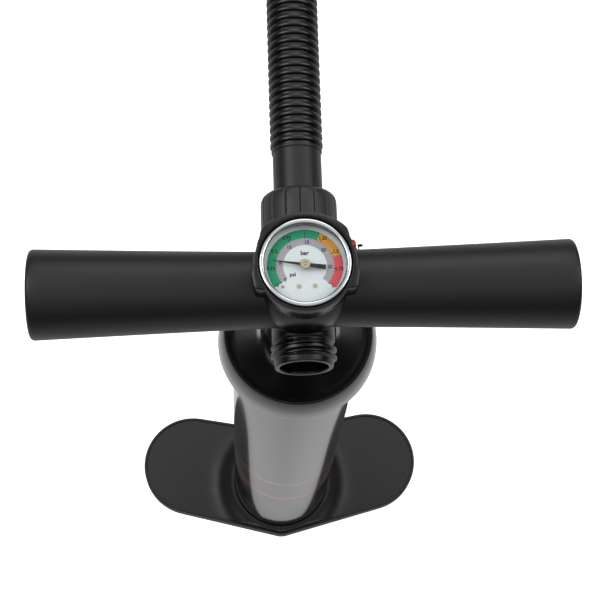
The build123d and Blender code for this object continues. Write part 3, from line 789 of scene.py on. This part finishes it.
for name, colour, inner, outer, first, last in RINGS:
    steps = max(8, round(abs(first - last) / 2.5))
    bm = bmesh.new()
    bmesh.ops.create_grid(bm, x_segments=steps, y_segments=1, size=1)
    for vert in bm.verts:
        degrees = first + (last - first) * (vert.co.x + 1) / 2
        vert.co = dial_spot(inner if vert.co.y < 0 else outer, degrees, 1)
    bm.normal_update()
    bmesh.ops.solidify(bm, geom=bm.faces[:], thickness=0.02 * MM)
    band = piece_from(name, bm)
    fit_out(band, printed(name + "_print", colour), "dial_white", "handle")

ink = printed("black_ink", "#1c1c1e")


def scale_angle(bar):
    return SCALE_START + (SCALE_END - SCALE_START) * bar / SCALE_BAR


ticks_bm = bmesh.new()
for number in range(41):
    degrees = scale_angle(number / 20)
    long_tick = number % 5 == 0
    inner, outer = (15.4, 17.1) if long_tick else (15.4, 16.3)
    middle = dial_spot((inner + outer) / 2, degrees, 2)
    turn = Matrix.Rotation(math.radians(degrees), 4, "Z")
    size = Matrix.Diagonal(((outer - inner) * MM, (0.36 if long_tick else 0.2) * MM, 0.02 * MM, 1))
    bmesh.ops.create_cube(ticks_bm, size=1, matrix=Matrix.Translation(middle) @ turn @ size)
fit_out(piece_from("dial_ticks", ticks_bm), ink, "needle_black", "handle")


def dial_text(name, words, height, radius, degrees):
    """Upright figures on the dial, as a flat mesh."""
    text = bpy.data.curves.new(name, "FONT")
    text.body, text.size, text.align_x, text.align_y = words, height * MM, "CENTER", "CENTER"
    text.extrude = 0.01 * MM
    text.offset = 0.028 * height * MM
    text.resolution_u = 3
    holder = bpy.data.objects.new(name, text)
    mesh = bpy.data.meshes.new_from_object(holder)
    bpy.data.objects.remove(holder)
    mesh.transform(Matrix.Translation(dial_spot(radius, degrees, 2)))
    bm = bmesh.new()
    bm.from_mesh(mesh)
    bmesh.ops.remove_doubles(bm, verts=bm.verts, dist=1e-7)
    fit_out(piece_from(name, bm), ink, "needle_black", "handle")


for number in range(9):
    bar = number / 4
    dial_text(f"bar_{number}", f"{bar:g}", 2.7, 18.6, scale_angle(bar))
for number in range(6):
    dial_text(f"psi_{number}", str(5 * number), 2.7, 13.5, scale_angle(number * 5 / 14.504))
dial_text("bar_unit", "bar", 3.4, 7.2, 90)
dial_text("psi_unit", "psi", 3.0, 8.4, 216)


# ---------------------------------------------------------------- needle, hub and dial screws
# Blackened spring steel needle with a broad tail, on a turned brass hub. Two brass screws hold the
# dial, and a brass pin low on the left is the needle's stop.
NEEDLE_ANGLE, NEEDLE_Z = 171.2, 592.0
needle_outline = [(-11.3, -1.35), (-11.3, 1.35), (-3.0, 1.0), (2.5, 0.75), (12.0, 0.38), (18.3, 0.1)]
needle_outline += [(18.3, -0.1), (12.0, -0.38), (2.5, -0.75), (-3.0, -1.0)]
blacked_steel = moulded("blackened_spring_steel", "#141416", 0.38, 0.3, 0.02, IOR=1.5)
needle_bm = bmesh.new()
bmesh.ops.contextual_create(
    needle_bm, geom=[needle_bm.verts.new(Vector((x, y, 0)) * MM) for x, y in needle_outline],
)
lifted = bmesh.ops.extrude_face_region(needle_bm, geom=needle_bm.faces[:])
bmesh.ops.translate(
    needle_bm, vec=Vector((0, 0, 0.45)) * MM,
    verts=[part for part in lifted["geom"] if isinstance(part, bmesh.types.BMVert)],
)
turn = Matrix.Rotation(math.radians(NEEDLE_ANGLE), 4, "Z")
bmesh.ops.transform(
    needle_bm, verts=needle_bm.verts,
    matrix=Matrix.Translation(Vector((0, CUP_Y, NEEDLE_Z)) * MM) @ turn,
)
needle = piece_from("needle_blade", needle_bm)
fit_out(needle, blacked_steel, "needle_black", "needle", "gauge_needle")

brass = metal("turned_brass", "#d6cbb4", 0.28, 1.0, 0.05)
hub_cap = lathe("hub_cap", [
    (0, 571.0), (0.8, 571.0), (0.8, 575.0), (1.0, 575.0), (1.0, 580.0), (0.8, 580.0), (0.8, 592.3),
    (2.7, 592.3), (2.9, 592.5), (2.9, 593.3), (2.6, 593.65), (1.6, 593.7), (1.25, 593.3),
    (0.9, 593.3), (0.6, 593.6), (0, 593.6),
], centre=(0, CUP_Y), steps=64)
fit_out(hub_cap, brass, "brass", "needle", "needle_hub")

SCREW_SPOTS, CROSS_TURN = [(-3.6, -6.8), (5.0, -6.6)], 0.4
screw_bm = bmesh.new()
for x, y in SCREW_SPOTS:
    head = Matrix.Translation(Vector((x, y, DIAL_Z + 0.36)) * MM)
    bmesh.ops.create_cone(
        screw_bm, cap_ends=True, segments=32, radius1=1.35 * MM, radius2=1.1 * MM, depth=0.66 * MM,
        matrix=head,
    )
    for turned in (CROSS_TURN, CROSS_TURN + math.pi / 2):
        bar_size = Matrix.Diagonal((1.5 * MM, 0.3 * MM, 0.7 * MM, 1))
        bmesh.ops.create_cube(
            screw_bm, size=1, matrix=head @ Matrix.Rotation(turned, 4, "Z") @ bar_size,
        )
fit_out(piece_from("dial_screw_heads", screw_bm), brass, "brass", "handle", "dial_screws")
stop_pin = lathe("needle_stop_pin", [
    (0, DIAL_Z), (0.75, DIAL_Z), (0.75, DIAL_Z + 0.7), (0.5, DIAL_Z + 1.0), (0, DIAL_Z + 1.0),
], centre=(-12.4, CUP_Y - 11.6), steps=32)
fit_out(stop_pin, brass, "brass", "handle")


# ---------------------------------------------------------------- inner parts
# The remaining parts keep their exact shapes and take the finish of what they are made of. Bare
# metals show the faint lines of turning or drawing, and the plastics and rubbers an even, dull skin.
acetal = moulded("machined_acetal", "#e4e2da", 0.40, 0.8, 0.03, IOR=1.48)
nitrile = moulded("moulded_nitrile_rubber", "#191918", 0.60, 0.5, 0.10, IOR=1.52)
anodised = metal("anodised_aluminium", "#b9bcc0", 0.30, 2.0, 0.05)
zinc_steel = metal("zinc_plated_steel", "#a9abad", 0.33, 1.5, 0.06)
FINISHES = {
    "black_plastic": polypropylene, "rubber": nitrile, "seal_rubber": nitrile, "white_acetal": acetal,
    "aluminium": anodised, "steel": zinc_steel, "brass": brass, "cap_plastic": nylon,
}
slot_of = {part["node"]: part["material_slot"] for part in frame["record"]["subparts"]}
for node, part in frame["nodes"].items():
    if slot_of[node] in FINISHES:
        part.material_slots[0].material = FINISHES[slot_of[node]]
